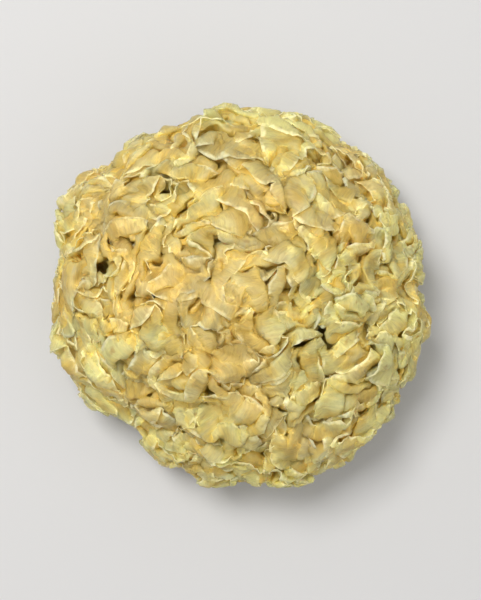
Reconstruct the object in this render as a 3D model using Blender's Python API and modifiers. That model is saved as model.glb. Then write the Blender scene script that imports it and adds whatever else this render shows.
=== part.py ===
"""One dried head of snow fungus, resting on the flat cut of its base.

The head is a branching growth. A hard base forks into main fronds, and each frond is a thin
sheet that widens from its stalk and rolls into a loose, ruffled scroll. Every frond has the
share of the head that lies nearest to its own direction from the fork, so none meets another.

Metres, +Z up. The origin is the middle of the base's cut face.
"""

import math
import random

import bmesh
import bpy
from mathutils import Vector, noise

MM = 0.001
SEED = 7

# Driving dimensions of the head
FORK_HEIGHT = 14 * MM  # the fork's height over the cut face
TOP_HEIGHT = 56 * MM
PLAN_REACH = 46 * MM  # from the fork out to the margins, seen from above
SAG_ANGLE = math.radians(-15)  # how far the lowest fronds hang below the fork's level
DENTS = ((225, 20, 4.5 * MM), (3, 15, 2.0 * MM))  # bearing and spread in degrees, depth
SWAYS = ((30 * MM, 3.6 * MM), (12 * MM, 0.8 * MM))  # the head's uneven bends: how far apart, how deep

# Base
BASE_REACH = 11.6 * MM  # the base's top, from the fork
FOOT_REACH = 17.5 * MM  # its flared foot, from the fork
LUMP_DEPTH = 1.6 * MM

# Fronds
RINGS = ((1, 86), (5, 56), (9, 25), (9, -3))  # how many fronds, and their elevation in degrees
STRAY_ANGLE = 5.0  # how far a frond is from its even place, in degrees
STALK_START = 12.2 * MM  # from the fork
THICKNESS = 1.0 * MM
NEIGHBOUR_GAP = 1.1 * MM  # from a sheet's middle to the edge of its frond's share
TURNS = 1.6
SEGMENTS = 32  # along the margin
ROWS = ((0.0, 0.7), (0.7, 0.82), (1.0, 1.0))  # from stalk to margin: rise, and width in the share
TWIST = 0.6  # radians from stalk to margin
INNER_WIDTH = 0.2  # the scroll's inner end, as a share of its outer width
RUFFLE = 0.4  # depth of the folds, as a share of the scroll's width
SCALLOP = 0.04  # how much the margin rises and falls, as a share of the frond's reach


def material(name, colour, roughness):
    made = bpy.data.materials.new(name)
    made.use_nodes = True
    shader = made.node_tree.nodes["Principled BSDF"]
    shader.inputs["Base Color"].default_value = (*colour, 1)
    shader.inputs["Roughness"].default_value = roughness
    shader.inputs["Metallic"].default_value = 0
    return made


def direction(bearing, elevation):
    """Unit vector at a bearing from +X and an elevation above the level, in radians."""
    return Vector((
        math.cos(elevation) * math.cos(bearing),
        math.cos(elevation) * math.sin(bearing),
        math.sin(elevation),
    ))


def head_reach(way):
    """How far the head reaches from the fork, in the direction of a unit vector."""
    bearing = math.degrees(math.atan2(way.y, way.x))
    plan = PLAN_REACH
    for middle, spread, depth in DENTS:
        off = (bearing - middle + 180) % 360 - 180
        plan -= depth * math.exp(-((off / spread) ** 2))
    level = math.hypot(way.x, way.y) / plan
    return 1 / math.hypot(level, way.z / (TOP_HEIGHT - FORK_HEIGHT))


def sway(place):
    """Where a point of the head, from the fork, ends up when the whole head is bent unevenly."""
    moved = place.copy()
    for apart, depth in SWAYS:
        push = noise.noise_vector(place / apart + Vector((5.3, 1.7, 8.1)))
        push.z *= min(max((place.z + FORK_HEIGHT) / (20 * MM), 0.0), 1.0)
        moved += push * depth * min(max(place.length / STALK_START - 1, 0.0), 1.0)
    return moved


def frond_ways(chance):
    """The fronds' directions, ring by ring from the crown down, each a little off its even place."""
    ways = []
    for ring, (count, elevation) in enumerate(RINGS):
        for place in range(count):
            bearing = 360 * (place + 0.5 * (ring % 2)) / count + chance.uniform(-1, 1) * STRAY_ANGLE
            tilt = elevation + chance.uniform(-1, 1) * STRAY_ANGLE
            ways.append(direction(math.radians(bearing), math.radians(tilt)))
    return ways


def half_width(axis, across, neighbours):
    """Angle from a frond's axis to the edge of its share, in the direction of the unit vector across."""
    tilt = math.hypot(axis.z, across.z)
    sagging = math.sin(SAG_ANGLE)
    edge = math.radians(50)
    if across.z < 0 and tilt > abs(sagging):
        edge = min(edge, math.atan2(across.z, axis.z) + math.acos(sagging / tilt))
    for other in neighbours:
        facing = across.dot(other)
        if facing > 0:
            edge = min(edge, math.atan((1 - axis.dot(other)) / facing))
    return edge


def waves(chance, first, last):
    """Random waves round a scroll: how many there are in a turn, their share of the depth, their phase."""
    return [(n, chance.uniform(0.4, 1.0), chance.uniform(0, 2 * math.pi)) for n in range(first, last + 1)]


def height_of(waves_round, turn):
    total = sum(share * math.cos(n * turn + phase) for n, share, phase in waves_round)
    return total / sum(share for _, share, _ in waves_round)


def frond(name, axis, neighbours, chance, finish):
    """A thin sheet from the fork to the head's outside, rolled round its axis and spread at the margin."""
    side = axis.orthogonal().normalized()
    up = axis.cross(side)
    folds = waves(chance, 4, 7)
    crests = waves(chance, 3, 6)
    start_turn = chance.uniform(0, 2 * math.pi)
    reach = head_reach(axis) * chance.uniform(0.97, 1.0)

    sheet = bmesh.new()
    bmesh.ops.create_grid(sheet, x_segments=SEGMENTS, y_segments=len(ROWS) - 1, size=0.5)
    for corner in sheet.verts:
        along = corner.co.x + 0.5
        rise, spread = ROWS[round((corner.co.y + 0.5) * (len(ROWS) - 1))]
        turn = start_turn + along * TURNS * 2 * math.pi + rise * TWIST
        across = math.cos(turn) * side + math.sin(turn) * up
        width = INNER_WIDTH + (1 - INNER_WIDTH) * math.sin(along * math.pi / 2)
        fold = 1 - RUFFLE * max(0.15 - height_of(folds, turn), 0.0) * spread
        distance = STALK_START + (reach - STALK_START) * rise
        distance *= 1 + SCALLOP * height_of(crests, turn) * rise
        room = half_width(axis, across, neighbours) - NEIGHBOUR_GAP / distance
        angle = room * width * fold * spread
        corner.co = sway(distance * (math.cos(angle) * axis + math.sin(angle) * across))

    mesh = bpy.data.meshes.new(name)
    sheet.to_mesh(mesh)
    sheet.free()
    mesh.materials.append(finish)
    made = bpy.data.objects.new(name, mesh)
    made.location = (0, 0, FORK_HEIGHT)
    wall = made.modifiers.new("wall", "SOLIDIFY")
    wall.thickness = THICKNESS
    wall.offset = 0
    return made


def base(finish):
    """The hard base: a lumpy knob with a flared foot, cut off flat."""
    knob = bmesh.new()
    bmesh.ops.create_icosphere(knob, subdivisions=3, radius=1)
    for point in knob.verts:
        way = point.co.normalized()
        lump = 0.5 + 0.5 * noise.noise(way * 2.6)
        foot = min(max((-way.z - 0.42) / 0.4, 0.0), 1.0)
        reach = BASE_REACH + (FOOT_REACH - BASE_REACH) * foot * foot * (3 - 2 * foot)
        point.co = way * (reach - LUMP_DEPTH * lump)
    cut = bmesh.ops.bisect_plane(
        knob,
        geom=knob.verts[:] + knob.edges[:] + knob.faces[:],
        plane_co=(0, 0, -FORK_HEIGHT),
        plane_no=(0, 0, -1),
        clear_outer=True,
    )
    rim = [part for part in cut["geom_cut"] if isinstance(part, bmesh.types.BMEdge)]
    bmesh.ops.contextual_create(knob, geom=rim)
    bmesh.ops.recalc_face_normals(knob, faces=knob.faces[:])

    mesh = bpy.data.meshes.new("base")
    knob.to_mesh(mesh)
    knob.free()
    mesh.shade_smooth()
    mesh.set_sharp_from_angle(angle=math.radians(40))
    mesh.materials.append(finish)
    made = bpy.data.objects.new("base", mesh)
    made.location = (0, 0, FORK_HEIGHT)
    return made


def main():
    for old in list(bpy.data.objects):
        bpy.data.objects.remove(old)
    head = bpy.data.collections.new("snow fungus")
    bpy.context.scene.collection.children.link(head)

    chance = random.Random(SEED)
    noise.seed_set(SEED)
    straw = material("dried frond", (0.50, 0.42, 0.17), 0.55)
    ochre = material("dried base", (0.30, 0.18, 0.05), 0.75)

    head.objects.link(base(ochre))
    ways = frond_ways(chance)
    for number, axis in enumerate(ways, 1):
        neighbours = [way for way in ways if way is not axis]
        head.objects.link(frond(f"frond_{number:02d}", axis, neighbours, chance, straw))


main()
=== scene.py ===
import math
import random
import time
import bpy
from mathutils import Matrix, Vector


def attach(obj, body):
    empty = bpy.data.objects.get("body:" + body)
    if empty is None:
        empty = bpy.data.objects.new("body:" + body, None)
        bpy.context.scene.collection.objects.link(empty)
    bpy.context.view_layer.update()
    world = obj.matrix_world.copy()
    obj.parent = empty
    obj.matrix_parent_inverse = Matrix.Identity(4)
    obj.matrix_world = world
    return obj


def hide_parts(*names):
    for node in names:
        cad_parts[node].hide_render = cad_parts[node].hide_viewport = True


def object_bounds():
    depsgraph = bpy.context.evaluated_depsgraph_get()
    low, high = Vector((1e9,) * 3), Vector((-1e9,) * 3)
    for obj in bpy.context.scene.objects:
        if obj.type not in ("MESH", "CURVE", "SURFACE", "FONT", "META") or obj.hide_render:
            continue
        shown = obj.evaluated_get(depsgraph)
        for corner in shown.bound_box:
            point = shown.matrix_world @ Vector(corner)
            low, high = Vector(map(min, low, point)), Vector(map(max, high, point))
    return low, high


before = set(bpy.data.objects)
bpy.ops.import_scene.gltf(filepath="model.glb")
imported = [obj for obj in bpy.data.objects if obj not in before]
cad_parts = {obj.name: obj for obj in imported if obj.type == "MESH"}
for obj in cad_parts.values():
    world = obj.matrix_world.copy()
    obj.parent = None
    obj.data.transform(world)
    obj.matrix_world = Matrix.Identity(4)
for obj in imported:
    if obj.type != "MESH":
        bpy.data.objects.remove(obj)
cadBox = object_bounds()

from concurrent.futures import ThreadPoolExecutor

import bmesh
import bpy
import numpy as np
from mathutils import Vector, noise

started = time.time()
mm = 0.001


def report(stage):
    print(f"snow fungus: {stage}, {time.time() - started:.0f} s in")


# The head's plan, as its solids have it

head = {
    "seed": 7,
    "forkHeight": 14 * mm,         # the fork over the cut face
    "topHeight": 56 * mm,
    "planReach": 46 * mm,          # from the fork to the margins
    "sagAngle": math.radians(-15),     # how far the lowest fronds hang
    "sagRoom": 1.08,               # how much lower than that their margins may hang
    "dents": ((225, 20, 4.5 * mm), (3, 15, 2.0 * mm)),     # bearing, spread in degrees, depth
    "sways": ((30 * mm, 3.6 * mm), (12 * mm, 0.8 * mm)),   # uneven bends: how far apart, how deep
    "swayPlace": (5.3, 1.7, 8.1),  # picks the bends out of the noise
    "swayRise": 20 * mm,           # the height from which they also go up and down in full
    "rings": ((1, 86), (5, 56), (9, 25), (9, -3)),     # fronds and their elevation in degrees
    "strayAngle": 5.0,
    "widest": math.radians(50),    # from a frond's axis to its edge
    "neighbours": 0.2,             # cosine of the angle within which fronds can be neighbours
    "stalkStart": 12.2 * mm,
    "turns": 1.6,
    "innerWidth": 0.2,             # of the roll's inner end, against the outer one
    "ruffle": 0.4,
    "folds": (4, 7),               # the fewest and most waves in a turn
    "waveShares": (0.4, 1.0),      # of a wave in the depth of all
    "foldFrom": 0.15,              # the waves below this height are folds
}


def direction(bearing, elevation):
    flat = math.cos(elevation)
    return Vector((flat * math.cos(bearing), flat * math.sin(bearing), math.sin(elevation)))


def headReach(ways):
    # from the fork to the head's outline, along each unit vector
    ways = np.asarray(ways)
    bearing = np.degrees(np.arctan2(ways[..., 1], ways[..., 0]))
    plan = head["planReach"]
    for middle, spread, depth in head["dents"]:
        off = (bearing - middle + 180) % 360 - 180
        plan = plan - depth * np.exp(-((off / spread) ** 2))
    level = np.hypot(ways[..., 0], ways[..., 1]) / plan
    return 1 / np.hypot(level, ways[..., 2] / (head["topHeight"] - head["forkHeight"]))


def sway(place):
    moved = place.copy()
    for apart, depth in head["sways"]:
        push = noise.noise_vector(place / apart + Vector(head["swayPlace"]))
        push.z *= min(max((place.z + head["forkHeight"]) / head["swayRise"], 0.0), 1.0)
        moved += push * depth * min(max(place.length / head["stalkStart"] - 1, 0.0), 1.0)
    return moved


def frondWays(chance):
    ways = []
    for ring, (count, elevation) in enumerate(head["rings"]):
        for place in range(count):
            stray = head["strayAngle"]
            bearing = 360 * (place + 0.5 * (ring % 2)) / count + chance.uniform(-1, 1) * stray
            tilt = elevation + chance.uniform(-1, 1) * stray
            ways.append(direction(math.radians(bearing), math.radians(tilt)))
    return ways


def halfWidth(axis, across, neighbours):
    # angle from a frond's axis to the edge of its share, one way across
    tilt = math.hypot(axis.z, across.z)
    sagging = math.sin(head["sagAngle"])
    edge = head["widest"]
    if across.z < 0 and tilt > abs(sagging):
        edge = min(edge, math.atan2(across.z, axis.z) + math.acos(sagging / tilt))
    for other in neighbours:
        facing = across.dot(other)
        if facing > 0:
            edge = min(edge, math.atan((1 - axis.dot(other)) / facing))
    return edge


def waves(chance, first, last):
    # random waves round a roll: how many in a turn, their share of the depth, their phase
    least, most = head["waveShares"]
    return [(n, chance.uniform(least, most), chance.uniform(0, 2 * math.pi)) for n in range(first, last + 1)]


def heightOf(wavesRound, turn):
    total = sum(share * math.cos(n * turn + phase) for n, share, phase in wavesRound)
    return total / sum(share for _, share, _ in wavesRound)


# Growth of the fronds: each margin is a line that lengthens inside its own share of the head

growth = {
    "atReach": 45.0,               # mm from the fork, where the lengths below are measured
    "points": 100,                 # along a margin
    "startWidth": 0.85,            # of the frond's share
    "startRuffle": 0.7,            # of the roll's own
    "steps": 380,
    "grownAfter": 0.85,            # of the steps
    "rows": 12,                    # stages that are kept
    "spacing": 3.5,                # mm between neighbouring folds
    "touch": 0.92,                 # of the spacing, within which folds push each other away
    "sameFold": 1.5,               # of that, along the margin, within which points don't
    "push": 0.12,
    "mostPush": 0.35,              # mm a step
    "wander": 0.12,                # mm a step
    "wanderSteps": 10,             # until it turns another way
    "wanderSmooth": 4,
    "evening": 0.1,                # how fast small bends even out
    "wallGap": 0.4,                # mm from a fold to the edge of the frond's share
    "wallPush": 0.8,
    "wallPasses": 2,
    "linkPasses": 8,
    "roundness": ((2, 1.72), (3, 2.3), (4, 2.6)),      # points apart, the least distance in links
    "rounding": 0.18,
    "rays": 180,                   # that measure a share
    "seed": 11,
}


def shareWalls(axis, side, up, ways):
    # the edges of a frond's share, as lines on the plane across its axis
    walls = []
    for other in ways:
        if other is axis or axis.dot(other) < head["neighbours"]:
            continue
        walls.append((side.dot(other), up.dot(other), 1 - axis.dot(other)))
    walls.append((-side.z, -up.z, axis.z - head["sagRoom"] * math.sin(head["sagAngle"])))
    lengths = [math.hypot(x, y) for x, y, _ in walls]
    return [(x / n, y / n, d / n * growth["atReach"]) for (x, y, d), n in zip(walls, lengths) if n > 1e-3]


def frondPlans(chance):
    # for each frond its axis, two ways across, the line its margin starts as, and its walls
    ways = frondWays(chance)
    plans = []
    for axis in ways:
        side = axis.orthogonal().normalized()
        up = axis.cross(side)
        folds = waves(chance, *head["folds"])
        waves(chance, 3, 6)        # drawn for the solids' scalloped margin, so that both plans agree
        startTurn = chance.uniform(0, 2 * math.pi)
        chance.uniform(0.97, 1.0)  # drawn for the solids' reach
        neighbours = [way for way in ways if way is not axis]
        start = []
        for point in range(growth["points"]):
            along = point / (growth["points"] - 1)
            turn = startTurn + along * head["turns"] * 2 * math.pi
            across = math.cos(turn) * side + math.sin(turn) * up
            width = head["innerWidth"] + (1 - head["innerWidth"]) * math.sin(along * math.pi / 2)
            deep = max(head["foldFrom"] - heightOf(folds, turn), 0.0)
            fold = 1 - growth["startRuffle"] * head["ruffle"] * deep
            angle = halfWidth(axis, across, neighbours) * growth["startWidth"] * width * fold
            radius = math.tan(angle) * growth["atReach"]
            start.append((radius * math.cos(turn), radius * math.sin(turn)))
        plans.append((axis, side, up, start, shareWalls(axis, side, up, ways)))
    return plans


def shareAreas(lines):
    # the area inside the walls of each share, measured along rays from its middle
    bearings = np.linspace(0, 2 * math.pi, growth["rays"], endpoint=False)
    rays = np.stack([np.cos(bearings), np.sin(bearings)], 1)
    reaches = np.einsum("rc,mkc->mrk", rays, lines[:, :, :2])
    toWall = np.where(reaches > 1e-3, lines[:, None, :, 2] / np.maximum(reaches, 1e-3), 1e3).min(axis=2)
    return math.pi * (toWall ** 2).mean(axis=1)


def growMargins(starts, walls):
    count = growth["points"]
    most = max(len(w) for w in walls)
    lines = np.zeros((len(walls), most, 3))
    lines[:, :, 2] = 1e3           # a wall so far off that it holds nothing
    for i, w in enumerate(walls):
        lines[i, :len(w)] = w
    chance = np.random.default_rng(growth["seed"])
    places = np.array(starts)

    firstLength = np.linalg.norm(np.diff(places, axis=1), axis=2).sum(axis=1)
    lastLength = shareAreas(lines) / growth["spacing"]
    apart = np.abs(np.arange(count)[:, None] - np.arange(count)[None, :])
    touch = growth["touch"] * growth["spacing"]
    kept = [places.copy()]
    drift = np.zeros_like(places)
    for step in range(growth["steps"]):
        grown = min(1.0, step / (growth["steps"] * growth["grownAfter"]))
        link = ((firstLength + (lastLength - firstLength) * grown) / (count - 1))[:, None, None]
        if step % growth["wanderSteps"] == 0:
            drift = chance.normal(size=places.shape)
            for _ in range(growth["wanderSmooth"]):
                drift[:, 1:-1] = (drift[:, :-2] + drift[:, 1:-1] * 2 + drift[:, 2:]) / 4
        places += drift * growth["wander"]

        # folds push each other away
        between = places[:, :, None, :] - places[:, None, :, :]
        far = np.sqrt((between ** 2).sum(-1) + 1e-9)
        free = (apart[None] * link < growth["sameFold"] * touch) | (far > touch)
        push = (between * np.where(free, 0.0, (touch - far) / far)[..., None]).sum(axis=2) * growth["push"]
        strength = np.linalg.norm(push, axis=2, keepdims=True)
        places += push * np.minimum(1.0, growth["mostPush"] / np.maximum(strength, 1e-6))
        bend = 0.5 * (places[:, :-2] + places[:, 2:]) - places[:, 1:-1]
        places[:, 1:-1] += growth["evening"] * bend

        # and stay inside the share
        for _ in range(growth["wallPasses"]):
            past = np.einsum("mkc,mnc->mnk", lines[:, :, :2], places)
            past = np.maximum(past - (lines[:, :, 2] - growth["wallGap"])[:, None, :], 0)
            places -= growth["wallPush"] * np.einsum("mnk,mkc->mnc", past, lines[:, :, :2])

        # points keep one link apart, and bends stay round
        for _ in range(growth["linkPasses"]):
            for first in (0, 1):
                a = places[:, first:-1:2]
                b = places[:, first + 1::2]
                run = b - a
                length = np.linalg.norm(run, axis=2, keepdims=True) + 1e-9
                fix = 0.5 * (length - link) / length * run
                a += fix
                b -= fix
            for skip, least in growth["roundness"]:
                run = places[:, skip:] - places[:, :-skip]
                length = np.linalg.norm(run, axis=2, keepdims=True) + 1e-9
                fix = growth["rounding"] * np.minimum(length - least * link, 0) / length * run
                places[:, :-skip] += fix
                places[:, skip:] -= fix
        if (step + 1) * growth["rows"] // growth["steps"] > step * growth["rows"] // growth["steps"]:
            kept.append(places.copy())
    return np.array(kept)


def smoothThrough(points, at):
    # a smooth line through points, read at the given fractional places
    last = len(points) - 1
    first = np.clip(np.floor(at).astype(int), 0, last - 1)
    t = (at - first).reshape(-1, *([1] * (points.ndim - 1)))
    p0, p1 = points[np.maximum(first - 1, 0)], points[first]
    p2, p3 = points[first + 1], points[np.minimum(first + 2, last)]
    return 0.5 * (2 * p1 + (p2 - p0) * t + (2 * p0 - 5 * p1 + 4 * p2 - p3) * t ** 2
                  + (3 * p1 - p0 - 3 * p2 + p3) * t ** 3)


# Unfolding: the margins bend over at the outline, and are then frilled on a finer grid

unfolding = {
    "columns": 150,
    "stemRows": 14,                # from the stalk to where the margin bends over
    "flapRows": 13,
    "growsLate": 1.4,              # above 1, folding comes later on the way out
    "setBack": (2.0 * mm, 5.0 * mm),   # how far under the head's outline the bend starts
    "setBackEvery": 11 * mm,
    "flap": 15.0 * mm,             # the margin that bends over
    "flapStart": 0.12,             # of it, standing out before it unfolds
    "flapVaries": ((17 * mm, 0.3), (5 * mm, 0.08)),    # how far apart, what share
    "flapLeast": 2.0 * mm,
    "notchEvery": 13.0 * mm,
    "notchStray": (0.5, 1.5),
    "notchDepth": (0.3, 0.7),      # of the flap
    "notchWidth": 1.2 * mm,
    "notchWidths": (0.7, 1.6),
    "evenStart": True,             # the margin starts as long as the line that it leaves from
    "stillRows": 5,                # next to the stalk
    "steps": 300,
    "passes": 3,
    "contact": 1.1 * mm,
    "stiffness": 0.035,
    "drift": 0.05 * mm,
    "driftEvery": (4, 6),          # rows and columns
    "marginGrows": 1.35,           # how much longer the margin gets than that line
    "growsOutward": 1.0,           # above 1, mostly near the margin
    "patches": 0.7,                # how unevenly it does so
    "press": 3.0 * mm,             # how far the head is pressed in at the end
    "seed": 5,
}

frilling = {
    "columns": 290,
    "lowRows": 8,
    "flapRows": 24,
    "evenStart": False,
    "stillRows": 4,
    "steps": 90,
    "passes": 2,
    "contact": 0.8 * mm,
    "stiffness": 0.009,
    "drift": 0.04 * mm,
    "driftEvery": (4, 4),
    "marginGrows": 1.32,
    "growsOutward": 2.6,
    "patches": 1.0,
    "press": 0.0,
    "seed": 8,
}

# What both have in common; distances are in contacts, strengths are shares of what is off
settling = {
    "free": (0.0, 0.3, 0.6, 0.85),     # how freely the first rows move
    "grownAfter": 0.7,             # of the steps
    "pressFrom": 0.5,              # of the steps
    "pressFor": 0.4,
    "driftSteps": 12,              # until it turns another way
    "driftFades": 0.8,
    "pairSteps": 6,                # until near points are looked for again
    "pairReach": 1.4,
    "pairApart": 1.9,              # nearer points of one sheet don't push each other
    "push": 0.3,
    "mostPush": 0.28,
    "hold": 0.6,                   # under the outline
    "lift": 0.5,                   # over the lowest place
    "pull": 0.24,                  # along rows and columns
    "shear": 0.1,                  # along diagonals
    "patchColumns": 12,            # between patches that grow more or less
    "block": 6,                    # fronds that one worker settles together
}

outline = {
    "uneven": 2.2 * mm,            # how uneven it is where the margins bend
    "waves": 9,
    "apart": (14, 30),             # mm
    "seed": 5,
}


def noisyLine(places, apart, seed):
    # smooth noise along a line, from -1 to 1
    return np.array([noise.noise(Vector((p / apart, seed * 7.31, 1.7))) * 1.6 for p in places])


def lengthsOf(lines):
    return np.sqrt(np.einsum("...k,...k->...", lines, lines))


def flapLengths(run, seed):
    # how far the margin bends over at each place along it, with notches
    flap = np.full(len(run), unfolding["flap"])
    for apart, share in unfolding["flapVaries"]:
        flap *= 1 + share * noisyLine(run, apart, seed + apart * 1000)
    chance = random.Random(seed)
    place = 0.0
    while place < run[-1]:
        place += unfolding["notchEvery"] * chance.uniform(*unfolding["notchStray"])
        depth = chance.uniform(*unfolding["notchDepth"])
        wide = unfolding["notchWidth"] * chance.uniform(*unfolding["notchWidths"])
        flap *= 1 - depth * np.exp(-((run - place) / wide) ** 2)
    return np.maximum(flap, unfolding["flapLeast"])


def startSheet(plan, stages, seed):
    # a sheet from the stalk, through the stages of its margin's growth, to the start of its flap
    axis, side, up = (np.array(v) for v in plan[:3])
    low, flapRows = unfolding["stemRows"], unfolding["flapRows"]
    along = np.linspace(0, growth["points"] - 1, unfolding["columns"])
    lines = np.array([smoothThrough(stage, along) for stage in stages])

    def way(points):
        out = axis + (points[:, :1] * side + points[:, 1:] * up) / growth["atReach"]
        return out / lengthsOf(out)[:, None]

    margin = lines[-1] * mm
    run = np.concatenate([[0], np.cumsum(lengthsOf(np.diff(margin, axis=0)))])
    flap = flapLengths(run, seed)
    outer = way(lines[-1])
    least, most = unfolding["setBack"]
    back = least + (most - least) * (0.5 + 0.5 * noisyLine(run, unfolding["setBackEvery"], seed + 9))
    bendStart = headReach(outer) - back
    rows = []
    for row in range(low + 1):
        out = row / low
        section = smoothThrough(lines, np.array([out ** unfolding["growsLate"] * (len(lines) - 1)]))[0]
        distance = head["stalkStart"] + (bendStart - head["stalkStart"]) * out
        rows.append(way(section) * distance[:, None])
    for row in range(1, flapRows + 1):
        rows.append(rows[low] + outer * (unfolding["flapStart"] * flap * row / flapRows)[:, None])
    return np.array(rows), flap


def closePairs(points, reach, sheet, spots, apart):
    # pairs of points of different sheets, or far from each other on one sheet, that lie within reach
    cell = np.floor(points / reach).astype(np.int64)
    cell -= cell.min(axis=0) - 1
    sizes = cell.max(axis=0) + 2
    key = (cell[:, 0] * sizes[1] + cell[:, 1]) * sizes[2] + cell[:, 2]
    order = np.argsort(key, kind="stable")
    key = key[order]
    here = np.arange(len(key))

    def pairsWith(shifts):
        shift = (shifts[0] * sizes[1] + shifts[1]) * sizes[2]
        if shift == 0:
            low = here + 1
            high = np.searchsorted(key, key + 1, "right")
        else:
            low = np.searchsorted(key, key + shift - 1, "left")
            high = np.searchsorted(key, key + shift + 1, "right")
        many = np.maximum(high - low, 0)
        ends = np.cumsum(many)
        first = np.repeat(here, many)
        second = np.arange(ends[-1]) + np.repeat(low - (ends - many), many)
        first, second = order[first], order[second]
        near = lengthsOf(points[first] - points[second]) < reach
        first, second = first[near], second[near]
        counts = (sheet[first] != sheet[second]) | (lengthsOf(spots[first] - spots[second]) > apart)
        return first[counts], second[counts]

    found = list(workers.map(pairsWith, ((0, 0), (0, 1), (1, -1), (1, 0), (1, 1))))
    return np.concatenate([pair[0] for pair in found]), np.concatenate([pair[1] for pair in found])


def pull(a, b, rest, strength):
    # moves two sets of neighbouring points towards the given distance
    run = b - a
    run *= (strength * (1 - rest / (lengthsOf(run) + 1e-9)))[..., None]
    a += run
    b -= run


def stiffen(line, strength):
    # evens out the bends along the first axis, free at both ends
    curve = (line[:-2] - 2 * line[1:-1] + line[2:]) * strength
    line[:-2] -= curve
    line[1:-1] += 2 * curve
    line[2:] -= curve


def outlineWaves():
    # plane waves through the head, which make its outline uneven
    chance = np.random.default_rng(outline["seed"])
    made = []
    for _ in range(outline["waves"]):
        across = chance.normal(size=3).astype(np.float32)
        turns = np.float32(2 * math.pi * growth["atReach"] / chance.uniform(*outline["apart"]))
        made.append((across * turns, np.float32(chance.uniform(0, 7))))
    return made


def settle(sheets, low, outEnd, how):
    # lengthens the sheets' margins while the sheets keep clear of each other and inside the outline
    still = how["stillRows"]
    held = sheets[:, still:].astype(np.float32)
    places = held.copy()
    count, rows, columns, _ = places.shape
    low -= still
    chance = np.random.default_rng(how["seed"])
    blocks = [slice(first, first + settling["block"]) for first in range(0, count, settling["block"])]

    # the distances that the points are to have in the end, and how freely each moves
    share = np.clip((np.arange(rows) - low) / (rows - 1 - low), 0, 1).astype(np.float32)
    free = np.array(settling["free"], dtype=np.float32)
    along = lengthsOf(np.diff(places, axis=2))
    outStart = lengthsOf(np.diff(places, axis=1))
    outEnd = outStart.copy() if outEnd is None else np.concatenate([outStart[:, :low], outEnd], axis=1)
    if how["evenStart"]:
        along[:, low:] = along[:, low:low + 1]
    patch = chance.uniform(-1, 1, size=(columns // settling["patchColumns"] + 3, count)).astype(np.float32)
    patch = smoothThrough(patch, np.linspace(0, len(patch) - 1, columns - 1)).T
    grows = (how["marginGrows"] - 1) * share[None, :, None] ** how["growsOutward"]
    grows = grows * (1 + how["patches"] * patch[:, None, :])
    sheet = np.repeat(np.arange(count), rows * columns)
    spots = np.stack(np.meshgrid(np.cumsum(np.r_[0, outEnd.mean(axis=(0, 2))]),
                                 np.arange(columns) * along[:, low:].mean(), indexing="ij"), -1)
    spots = np.tile(spots.reshape(-1, 2), (count, 1)).astype(np.float32)
    moving = np.ones((count, rows, columns), dtype=np.float32)
    moving[:, :len(free)] = free[None, :, None]
    moving = moving.ravel()
    wavesThrough = outlineWaves()
    lowest = math.sin(head["sagAngle"]) * head["sagRoom"]

    def limits(ways, loose):
        uneven = sum(np.cos(ways @ wave + phase) for wave, phase in wavesThrough)
        return headReach(ways) - outline["uneven"] * (0.5 + 0.25 * uneven) + how["press"] * loose

    rowsApart, columnsApart = how["driftEvery"]
    for step in range(how["steps"]):
        done = step / how["steps"]
        grown = np.float32(min(1.0, step / (how["steps"] * settling["grownAfter"])))
        pressed = max(done - settling["pressFrom"], 0.0) / settling["pressFor"]
        loose = np.float32(1 - min(pressed, 1.0))
        if step % settling["driftSteps"] == 0:
            coarse = chance.normal(size=(rows // rowsApart + 2, count, columns // columnsApart + 2, 3))
            coarse = smoothThrough(coarse.astype(np.float32), np.linspace(0, rows // rowsApart + 1, rows))
            coarse = np.moveaxis(coarse, 2, 0)
            coarse = smoothThrough(coarse, np.linspace(0, columns // columnsApart + 1, columns))
            drift = np.moveaxis(coarse, (0, 1, 2), (2, 1, 0)).astype(np.float32) * how["drift"]
        places += drift * (1 - np.float32(settling["driftFades"]) * grown)

        # sheets push each other aside
        flat = places.reshape(-1, 3)
        contact = how["contact"]
        if step % settling["pairSteps"] == 0:
            first, second = closePairs(flat, contact * settling["pairReach"], sheet, spots,
                                       contact * settling["pairApart"])
        between = flat[first] - flat[second]
        far = lengthsOf(between) + 1e-9
        touching = far < contact
        one, other, far = first[touching], second[touching], far[touching]
        push = ((contact - far) / far * settling["push"])[:, None] * between[touching]
        most = settling["mostPush"] * contact

        def aside(part):
            moved = np.bincount(one, push[:, part], len(flat)) - np.bincount(other, push[:, part], len(flat))
            flat[:, part] += np.clip(moved, -most, most) * moving

        list(workers.map(aside, range(3)))

        # and take their new lengths, under the outline
        def settleBlock(block):
            mine = places[block]
            outNow = outStart[block] + (outEnd[block] - outStart[block]) * grown
            alongNow = along[block] * (1 + grows[block] * grown)
            slanted = np.hypot(0.5 * (outNow[:, :, :-1] + outNow[:, :, 1:]),
                               0.5 * (alongNow[:, :-1] + alongNow[:, 1:]))
            stiffen(np.moveaxis(mine, 1, 0), how["stiffness"])
            stiffen(np.moveaxis(mine, 2, 0), how["stiffness"])
            outer = mine[:, low - 2:]
            length = lengthsOf(outer)
            past = np.maximum(1 - limits(outer / length[..., None], loose) / length, 0) * settling["hold"]
            outer -= outer * past[..., None]
            outer[..., 2] += np.maximum(lowest * length - outer[..., 2], 0) * settling["lift"]
            for _ in range(how["passes"]):
                pull(mine[:, :, :-1], mine[:, :, 1:], alongNow, settling["pull"])
                pull(mine[:, :-1], mine[:, 1:], outNow, settling["pull"])
                pull(mine[:, :-1, :-1], mine[:, 1:, 1:], slanted, settling["shear"])
                pull(mine[:, :-1, 1:], mine[:, 1:, :-1], slanted, settling["shear"])
            start = held[block, :len(free)]
            mine[:, :len(free)] = start + (mine[:, :len(free)] - start) * free[None, :, None, None]

        list(workers.map(settleBlock, blocks))
    return np.concatenate([sheets[:, :still], places], axis=1)


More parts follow.
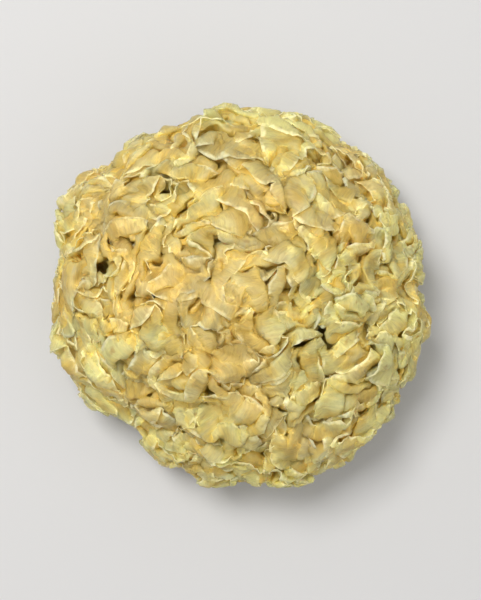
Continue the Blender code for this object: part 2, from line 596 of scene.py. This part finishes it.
def refine(places):
    # the same sheets on the finer grid that frilling needs
    low = unfolding["stemRows"]
    rows = np.concatenate([np.linspace(0, low, frilling["lowRows"] + 1),
                           low + np.linspace(0, unfolding["flapRows"], frilling["flapRows"] + 1)[1:]])
    columns = np.linspace(0, unfolding["columns"] - 1, frilling["columns"] + 1)
    fine = smoothThrough(np.moveaxis(places, 1, 0), rows)
    fine = smoothThrough(np.moveaxis(fine, 2, 0), columns)
    return np.moveaxis(fine, (0, 1, 2), (2, 1, 0))


# The fronds

fronds = {
    "rootStart": 10.2 * mm,        # from the fork, inside the base
    "thickness": 0.34 * mm,
    "thinMargin": 0.3,             # of the thickness
    "taper": 3.0 * mm,
    "coverReach": 2.2 * mm,        # within which other lobes count as lying over a place
    "gridEvery": (0.5 * mm, 0.55 * mm),    # between rows and columns
    "crumples": ((3.4 * mm, 0.42 * mm), (1.8 * mm, 0.26 * mm)),    # how far apart, how deep
    "crumpleEdge": 0.1,            # how round their creases are
    "crumpleMiddle": 0.45,         # the height that counts as level
    "wrinkles": ((2.6 * mm, 0.3 * mm), (1.5 * mm, 0.14 * mm)),
    "wrinkleStretch": 2.4,         # how much longer than wide, away from the stalk
    "crisping": (2.3 * mm, 0.5 * mm, 2.2 * mm),    # of the margin: how far apart, how deep, how far in
    "crispStretch": 3,
    "boxEase": 2 * mm,             # over which what would stand out of the solids' box is eased back
    "boxGap": 0.2 * mm,
    "offFloor": 0.5 * mm,
}


def withinBox(places):
    # nothing stands out of the solids' box
    ease = fronds["boxEase"]
    for side in range(3):
        for sign, wall in ((1, cadBox[1][side]), (-1, cadBox[0][side])):
            if side == 2 and sign == -1:
                continue
            past = sign * places[:, side] - (sign * wall - ease - fronds["boxGap"])
            eased = np.where(past > 0, ease * (1 - np.exp(-np.maximum(past, 0) / ease)), past)
            places[:, side] += sign * (eased - past)
    places[:, 2] = np.maximum(places[:, 2], fronds["offFloor"])
    return places


def coverOf(sheets):
    # how much of other lobes lies close over each point, which the frond finish paints as shade
    count, rows, columns, _ = sheets.shape
    points = sheets.reshape(-1, 3).astype(np.float32)
    sheet = np.repeat(np.arange(count), rows * columns)
    rowsEvery, columnsEvery = fronds["gridEvery"]
    spots = np.stack(np.meshgrid(np.arange(rows) * rowsEvery, np.arange(columns) * columnsEvery,
                                 indexing="ij"), -1)
    spots = np.tile(spots.reshape(-1, 2), (count, 1)).astype(np.float32)
    first, second = closePairs(points, fronds["coverReach"], sheet, spots, 2 * fronds["coverReach"])
    between = points[second] - points[first]
    rise = np.einsum("ij,ij->i", between, points[first] / lengthsOf(points[first])[:, None])
    rise /= lengthsOf(between) + 1e-9
    near = 1 - lengthsOf(between) / fronds["coverReach"]
    cover = np.bincount(first, np.maximum(rise, 0) * near, len(points))
    cover += np.bincount(second, np.maximum(-rise, 0) * near, len(points))
    return cover.reshape(count, rows, columns)


def creaseLift(place, run, toMargin, seed):
    # how far a point of the sheet is lifted by crumples, wrinkles and the crisp margin
    lift = 0.0
    for apart, depth in fronds["crumples"]:
        crumple = noise.noise(place / apart + Vector((seed, 0, 0))) * 2
        lift += depth * (math.hypot(crumple, fronds["crumpleEdge"]) - fronds["crumpleMiddle"])
    for apart, depth in fronds["wrinkles"]:
        spot = Vector((run / apart, toMargin / apart / fronds["wrinkleStretch"], seed))
        lift += depth * 2 * noise.noise(spot)
    apart, depth, inside = fronds["crisping"]
    crisp = noise.noise(Vector((run / apart, toMargin / apart / fronds["crispStretch"], seed + 3)))
    return lift + depth * 2 * crisp * math.exp(-((toMargin / inside) ** 2))


def frondPiece(name, sheet, cover, seed):
    rows, columns, _ = sheet.shape
    sheet = sheet.copy()
    sheet[0] *= fronds["rootStart"] / head["stalkStart"]
    run = np.concatenate([[0], np.cumsum(lengthsOf(np.diff(sheet[-1], axis=0)))])
    gone = lengthsOf(np.diff(sheet, axis=0))
    toMargin = np.concatenate([np.cumsum(gone[::-1], axis=0)[::-1], np.zeros((1, columns))])
    normal = np.cross(np.gradient(sheet, axis=1), np.gradient(sheet, axis=0))
    normal /= np.maximum(lengthsOf(normal)[..., None], 1e-12)

    made = bmesh.new()
    bmesh.ops.create_grid(made, x_segments=columns - 1, y_segments=rows - 1, size=0.5)
    made.verts.ensure_lookup_table()
    edgeLayer = made.verts.layers.float.new("toMargin")        # mm
    # depth and cover also set where the frond finish paints shade
    deepLayer = made.verts.layers.float.new("depth")           # under the outline, of its reach
    alongLayer = made.verts.layers.float.new("along")          # mm along the margin
    coverLayer = made.verts.layers.float.new("cover")
    thicknessLayer = made.verts.layers.deform.verify()
    fork = Vector((0, 0, head["forkHeight"]))
    for corner in made.verts:
        column = round((corner.co.x + 0.5) * (columns - 1))
        row = round((corner.co.y + 0.5) * (rows - 1))
        place = Vector(sheet[row, column])
        inside = toMargin[row, column]
        place += Vector(normal[row, column]) * creaseLift(place, run[column], inside, seed)
        corner[edgeLayer] = inside / mm
        corner[deepLayer] = 1 - place.length / headReach(place.normalized())
        corner[alongLayer] = run[column] / mm + seed * 10
        corner[coverLayer] = cover[row, column]
        corner[thicknessLayer][0] = min(inside / fronds["taper"], 1.0)
        corner.co = sway(place) + fork
    places = withinBox(np.array([corner.co for corner in made.verts]))
    for corner, place in zip(made.verts, places):
        corner.co = place

    mesh = bpy.data.meshes.new(name)
    made.to_mesh(mesh)
    made.free()
    mesh.shade_smooth()
    piece = bpy.data.objects.new(name, mesh)
    bpy.context.scene.collection.objects.link(piece)
    piece.vertex_groups.new(name="thickness")
    wall = piece.modifiers.new("wall", "SOLIDIFY")
    wall.thickness = fronds["thickness"]
    wall.offset = 0
    wall.vertex_group = "thickness"
    wall.thickness_vertex_group = fronds["thinMargin"]
    return piece


# Nodes that both finishes are made of

def noiseNode(tree, vector, scale, detail, roughness=0.5, kind="FBM"):
    node = tree.nodes.new("ShaderNodeTexNoise")
    node.noise_type = kind
    node.inputs["Scale"].default_value = scale
    node.inputs["Detail"].default_value = detail
    node.inputs["Roughness"].default_value = roughness
    tree.links.new(vector, node.inputs["Vector"])
    return node.outputs["Fac"]


def mathNode(tree, operation, *values):
    node = tree.nodes.new("ShaderNodeMath")
    node.operation = operation
    for socket, value in zip(node.inputs, values):
        if isinstance(value, (int, float)):
            socket.default_value = value
        else:
            tree.links.new(value, socket)
    return node.outputs[0]


def addShare(tree, total, value, share):
    return mathNode(tree, "MULTIPLY_ADD", value, share, total)


def rampNode(tree, value, stops):
    # each stop is a place and a colour, or a place and a shade of grey
    node = tree.nodes.new("ShaderNodeValToRGB")
    tree.links.new(value, node.inputs["Fac"])
    elements = node.color_ramp.elements
    for place, _ in stops[1:-1]:
        elements.new(place)
    for element, (place, colour) in zip(elements, stops):
        element.position = place
        element.color = (*colour, 1) if isinstance(colour, tuple) else (colour, colour, colour, 1)
    return node.outputs["Color"]


def mixNode(tree, factor, first, second):
    node = tree.nodes.new("ShaderNodeMix")
    node.data_type = "RGBA"
    tree.links.new(factor, node.inputs["Factor"])
    for socket, value in zip((node.inputs[6], node.inputs[7]), (first, second)):
        if isinstance(value, tuple):
            socket.default_value = (*value, 1)
        else:
            tree.links.new(value, socket)
    return node.outputs[2]


def attributeNode(tree, name):
    node = tree.nodes.new("ShaderNodeAttribute")
    node.attribute_name = name
    return node.outputs["Fac"]


def bumpTo(tree, shader, height, strength, distance):
    node = tree.nodes.new("ShaderNodeBump")
    node.inputs["Strength"].default_value = strength
    node.inputs["Distance"].default_value = distance
    tree.links.new(height, node.inputs["Height"])
    tree.links.new(node.outputs["Normal"], shader.inputs["Normal"])


def emptyFinish(name):
    made = bpy.data.materials.new(name)
    made.use_nodes = True
    return made, made.node_tree, made.node_tree.nodes["Principled BSDF"]


# The fronds' finish

frondFinish = {
    "pale": (0.72, 0.67, 0.34),
    # gold and ochre stand in part for painted shade, deep down in the head and under other lobes
    "gold": (0.62, 0.482, 0.133),
    "ochre": (0.56, 0.395, 0.08),
    "tan": (0.62, 0.455, 0.15),
    "greenish": (0.66, 0.655, 0.30),
    # the rim's colour: the margin's own paler tone with painted light along the rim
    "edge": (0.78, 0.745, 0.47),
    "spot": (0.38, 0.20, 0.03),
    "goldAt": 0.3,                 # how far inwards and into painted shade a colour is reached, from 0 to 1
    "ochreAt": 0.9,
    "perMargin": 1 / 18,           # what counts as inwards: for each mm from the margin
    "mostMargin": 0.42,
    # painted shade: these turn the sheet gold and ochre under other lobes and deep down in the head
    "shadeUnderLobes": 0.035,
    "shadeDeepDown": 1.3,
    "patches": (120, 3, 0.5),      # a noise's scale and detail, and how much it counts
    "lobes": (0.17, 1, 1.5),
    "striae": (1.3, 3, 0.5),
    "veins": (260, 3, -0.16),
    "striaeRoughness": 0.6,
    "striaeStretch": 0.22,
    "areas": (52, 2, 1.4),
    "areasOutward": 6.0,           # for each metre from the head's middle
    "areasSideways": 2.0,
    "warm": ((0.6, 0.65), (0.88, 0.0)),
    "green": ((0.82, 0.0), (1.0, 0.7)),
    "greenShallow": ((0.1, 1.0), (0.55, 0.0)),     # less of it inwards
    "spots": (420, 2),
    "spotted": ((0.66, 0.0), (0.76, 0.5)),
    "rimNoise": (330, 2, 0.6),     # scale, detail, roughness
    "rimMiddle": 0.47,             # of the noise
    "rimUneven": 3.6,              # mm
    "rim": ((0.0, 0.75), (0.35, 0.35), (0.8, 0.0)),    # mm from the margin, share of the edge's colour, which is in part painted light
    "dense": ((0.0, 0.95), (0.03, 0.8), (0.08, 0.5), (0.4, 0.54), (0.9, 1.0)),     # cm, how opaque
    "striaeMiddle": 0.45,
    "denseStriae": 0.7,
    "roughness": ((0.3, 0.27), (0.7, 0.44)),       # glossier in the hollows between striae
    "grain": (2200, 3),
    "grainHeight": 0.22,           # against the striae
    "veinHeight": 0.5,
    "relief": (0.7, 0.6 * mm),
    "scatter": 3 * mm,             # how far red light spreads in the sheet
    "scatterColour": (1.0, 0.8, 0.4),
}


def frondMaterial():
    finish = frondFinish
    made, tree, shader = emptyFinish("driedFrond")
    shader.subsurface_method = "BURLEY"
    shader.inputs["Subsurface Weight"].default_value = 1.0
    shader.inputs["Subsurface Radius"].default_value = finish["scatterColour"]
    shader.inputs["Subsurface Scale"].default_value = finish["scatter"]
    where = tree.nodes.new("ShaderNodeTexCoord").outputs["Object"]
    toMargin = attributeNode(tree, "toMargin")
    onSheet = tree.nodes.new("ShaderNodeCombineXYZ")
    tree.links.new(attributeNode(tree, "along"), onSheet.inputs[0])
    tree.links.new(mathNode(tree, "MULTIPLY", toMargin, finish["striaeStretch"]), onSheet.inputs[1])

    # pale at the margin and more golden inwards, as the sheet itself is; more golden and ochre deep down and
    # under other lobes, which is painted shade
    inwardAndShade = mathNode(tree, "MULTIPLY", toMargin, finish["perMargin"])
    inwardAndShade = mathNode(tree, "MINIMUM", inwardAndShade, finish["mostMargin"])
    inwardAndShade = addShare(tree, inwardAndShade, attributeNode(tree, "cover"), finish["shadeUnderLobes"])
    inwardAndShade = addShare(tree, inwardAndShade, attributeNode(tree, "depth"), finish["shadeDeepDown"])
    scale, detail, counts = finish["patches"]
    patches = noiseNode(tree, where, scale, detail)
    inwardAndShade = addShare(tree, inwardAndShade, mathNode(tree, "SUBTRACT", patches, 0.5), counts)
    scale, detail, counts = finish["lobes"]
    lobes = noiseNode(tree, onSheet.outputs[0], scale, detail)
    inwardAndShade = addShare(tree, inwardAndShade, mathNode(tree, "SUBTRACT", lobes, 0.5), counts)
    scale, detail, counts = finish["striae"]
    striae = noiseNode(tree, onSheet.outputs[0], scale, detail, finish["striaeRoughness"])
    inwardAndShade = addShare(tree, inwardAndShade, mathNode(tree, "SUBTRACT", striae, 0.5), counts)
    scale, detail, counts = finish["veins"]
    veins = noiseNode(tree, where, scale, detail, kind="RIDGED_MULTIFRACTAL")
    inwardAndShade = addShare(tree, inwardAndShade, veins, counts)
    colour = rampNode(tree, inwardAndShade, (
        (0.0, finish["pale"]), (finish["goldAt"], finish["gold"]), (finish["ochreAt"], finish["ochre"])))

    # broad areas, warmer in the middle of the head and greenish outside
    apart = tree.nodes.new("ShaderNodeSeparateXYZ")
    tree.links.new(where, apart.inputs[0])
    x, y = apart.outputs[0], apart.outputs[1]
    outward = mathNode(tree, "SQRT", mathNode(tree, "MULTIPLY_ADD", y, y, mathNode(tree, "MULTIPLY", x, x)))
    scale, detail, counts = finish["areas"]
    areas = mathNode(tree, "MULTIPLY", noiseNode(tree, where, scale, detail), counts)
    areas = addShare(tree, areas, outward, finish["areasOutward"])
    areas = addShare(tree, areas, x, finish["areasSideways"])
    colour = mixNode(tree, rampNode(tree, areas, finish["warm"]), colour, finish["tan"])
    green = mathNode(tree, "MULTIPLY", rampNode(tree, areas, finish["green"]),
                     rampNode(tree, inwardAndShade, finish["greenShallow"]))
    colour = mixNode(tree, green, colour, finish["greenish"])

    # a few dried spots, and the thin pale rim of uneven width: the margin's own paler colour with painted
    # light along the rim
    spotted = rampNode(tree, noiseNode(tree, where, *finish["spots"]), finish["spotted"])
    colour = mixNode(tree, spotted, colour, finish["spot"])
    uneven = mathNode(tree, "SUBTRACT", noiseNode(tree, where, *finish["rimNoise"]), finish["rimMiddle"])
    uneven = addShare(tree, toMargin, uneven, finish["rimUneven"])
    colour = mixNode(tree, rampNode(tree, uneven, finish["rim"]), colour, finish["edge"])
    tree.links.new(colour, shader.inputs["Base Color"])

    # the sheet is translucent between its denser middle and its rim, least so along its striae
    dense = rampNode(tree, mathNode(tree, "MULTIPLY", uneven, 0.1), finish["dense"])
    denser = mathNode(tree, "SUBTRACT", striae, finish["striaeMiddle"])
    dense = addShare(tree, dense, denser, finish["denseStriae"])
    tree.links.new(mathNode(tree, "MINIMUM", dense, 1.0), shader.inputs["Alpha"])

    # striae run from the stalk to the margin, over veins and a fine grain
    grain = noiseNode(tree, where, *finish["grain"])
    height = addShare(tree, striae, grain, finish["grainHeight"])
    height = addShare(tree, height, veins, finish["veinHeight"])
    bumpTo(tree, shader, height, *finish["relief"])
    tree.links.new(rampNode(tree, striae, finish["roughness"]), shader.inputs["Roughness"])
    return made


# The base, cut off flat

base = {
    "detail": 6,
    "reach": 11.6 * mm,            # its top, from the fork
    "footReach": 17.5 * mm,
    "footFrom": 0.42,              # how far down it starts to flare, from 0 level to 1 straight down
    "footOver": 0.4,
    "lumps": 1.6 * mm,
    "lumpEvery": 2.6,              # waves across the knob
    "fineLumps": ((3.4 * mm, 0.5 * mm), (1.3 * mm, 0.16 * mm)),    # how far apart, how deep
    "scarPits": 0.35 * mm,
    "pits": ((1.1 * mm, 0.5), (3 * mm, 0.4)),      # how far apart, what share of their depth
    "scarEdge": 0.06,              # how soon the pits reach their depth
    "skin": ((0.3, (0.30, 0.15, 0.04)), (0.5, (0.52, 0.32, 0.09)), (0.72, (0.68, 0.50, 0.19))),
    "scar": ((0.3, (0.20, 0.10, 0.03)), (0.5, (0.46, 0.30, 0.12)), (0.7, (0.64, 0.48, 0.24))),
    "mottle": (260, 4, 0.6),       # a noise's scale, detail and roughness
    "fibres": (900, 4, 0.7),
    "relief": (0.8, 0.5 * mm),
    "roughness": 0.7,
}


def basePiece():
    knob = bmesh.new()
    bmesh.ops.create_icosphere(knob, subdivisions=base["detail"], radius=1)
    cutLayer = knob.verts.layers.float.new("cut")
    fork = head["forkHeight"]
    for point in knob.verts:
        way = point.co.normalized()
        foot = min(max((-way.z - base["footFrom"]) / base["footOver"], 0.0), 1.0)
        reach = base["reach"] + (base["footReach"] - base["reach"]) * foot * foot * (3 - 2 * foot)
        reach -= base["lumps"] * (0.5 + 0.5 * noise.noise(way * base["lumpEvery"]))
        spot = way * reach
        for apart, depth in base["fineLumps"]:
            reach -= depth * (1 - abs(noise.noise(spot / apart)) * 2)
        toCut = fork / -way.z if way.z < -0.05 else 1.0    # a metre, so never
        if reach < toCut:
            point.co = way * reach
            point[cutLayer] = 0
        else:
            point.co = way * toCut
            inside = min((reach / toCut - 1) / base["scarEdge"], 1.0)
            pit = 0.5
            for apart, share in base["pits"]:
                pit += share * noise.noise(point.co / apart)
            point.co.z += base["scarPits"] * inside * max(pit, 0)
            point[cutLayer] = inside
        point.co.z = max(point.co.z + fork, 0.0)
    mesh = bpy.data.meshes.new("woody_base")
    knob.to_mesh(mesh)
    knob.free()
    mesh.shade_smooth()
    piece = bpy.data.objects.new("woody_base", mesh)
    bpy.context.scene.collection.objects.link(piece)
    return piece


def baseMaterial():
    made, tree, shader = emptyFinish("driedBase")
    where = tree.nodes.new("ShaderNodeTexCoord").outputs["Object"]
    mottle = noiseNode(tree, where, *base["mottle"])
    fibres = noiseNode(tree, where, *base["fibres"])
    skin = rampNode(tree, mottle, base["skin"])
    scar = rampNode(tree, fibres, base["scar"])
    tree.links.new(mixNode(tree, attributeNode(tree, "cut"), skin, scar), shader.inputs["Base Color"])
    bumpTo(tree, shader, mathNode(tree, "ADD", mottle, fibres), *base["relief"])
    shader.inputs["Roughness"].default_value = base["roughness"]
    return made


# The object

chance = random.Random(head["seed"])
noise.seed_set(head["seed"])
plans = frondPlans(chance)
report("plan ready")

grown = growMargins([plan[3] for plan in plans], [plan[4] for plan in plans])
report("margins grown")

seeds = [chance.uniform(0, 50) for _ in plans]
starts = [startSheet(plan, grown[:, i], seeds[i]) for i, plan in enumerate(plans)]
sheets = np.array([sheet for sheet, _ in starts])
flaps = np.array([flap for _, flap in starts])
rowLengths = np.repeat(flaps[:, None, :] / unfolding["flapRows"], unfolding["flapRows"], 1)
with ThreadPoolExecutor(4) as workers:
    unfolded = settle(sheets, unfolding["stemRows"], rowLengths, unfolding)
    report("fronds unfolded")
    frilled = settle(refine(unfolded), frilling["lowRows"], None, frilling)
    report("margins frilled")
    covers = coverOf(frilled)
report("covers measured")

straw = frondMaterial()
for number, seed in enumerate(seeds, 1):
    node = f"frond_{number:02d}"
    piece = frondPiece(f"ruffled_{node}", frilled[number - 1], covers[number - 1], seed)
    piece.data.materials.append(straw)
    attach(piece, "root")
    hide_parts(node)
report("fronds made")

knob = basePiece()
knob.data.materials.append(baseMaterial())
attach(knob, "root")
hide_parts("base")
report("base made")


# Floor, light and camera

studio = {
    "floor": (0.74, 0.73, 0.72),
    "floorRoughness": 0.9,
    "floorReach": 1.5,             # metres, from its middle
    "sky": 0.43,
    "key": ((-0.16, 0.18, 0.61), 0.22, 2.6),       # place, size, power
    "fill": ((0.5, -0.3, 0.5), 0.8, 0.6),
    "aim": (0, 0, 20 * mm),
    "lens": 85,
    "sensor": 36,
    "frame": (481, 600),
    "headWidth": 94 * mm,
    "headShare": 0.88,             # of the frame's width
    "headHeight": 40 * mm,         # over the floor, where the head is widest in the frame
}


def floorPlane():
    made = bmesh.new()
    bmesh.ops.create_grid(made, x_segments=1, y_segments=1, size=studio["floorReach"])
    mesh = bpy.data.meshes.new("floor")
    made.to_mesh(mesh)
    made.free()
    paper, _, shader = emptyFinish("floorPaper")
    shader.inputs["Base Color"].default_value = (*studio["floor"], 1)
    shader.inputs["Roughness"].default_value = studio["floorRoughness"]
    mesh.materials.append(paper)
    floor = bpy.data.objects.new("floor", mesh)
    bpy.context.scene.collection.objects.link(floor)
    return floor


def softBox(name):
    place, size, power = studio[name]
    light = bpy.data.lights.new(name, "AREA")
    light.shape = "SQUARE"
    light.size = size
    light.energy = power
    lamp = bpy.data.objects.new(name, light)
    bpy.context.scene.collection.objects.link(lamp)
    lamp.location = place
    lamp.rotation_euler = (Vector(studio["aim"]) - Vector(place)).to_track_quat("-Z", "Y").to_euler()


def cameraAbove():
    lens = bpy.data.cameras.new("camera")
    lens.lens = studio["lens"]
    lens.sensor_width = studio["sensor"]
    camera = bpy.data.objects.new("camera", lens)
    bpy.context.scene.collection.objects.link(camera)
    # the frame is upright, so the sensor's width spans its height
    wide, high = studio["frame"]
    frameHeight = studio["headWidth"] / studio["headShare"] * high / wide
    distance = frameHeight / 2 / math.tan(math.atan(lens.sensor_width / 2 / lens.lens))
    camera.location = (0, 0, distance + studio["headHeight"])
    return camera


floor = floorPlane()
world = bpy.data.worlds.new("studio")
bpy.context.scene.world = world
world.use_nodes = True
world.node_tree.nodes["Background"].inputs["Color"].default_value = (1, 1, 1, 1)
world.node_tree.nodes["Background"].inputs["Strength"].default_value = studio["sky"]
softBox("key")
softBox("fill")
bpy.context.scene.view_settings.view_transform = "Standard"
bpy.context.scene.camera = cameraAbove()
report("stage set")
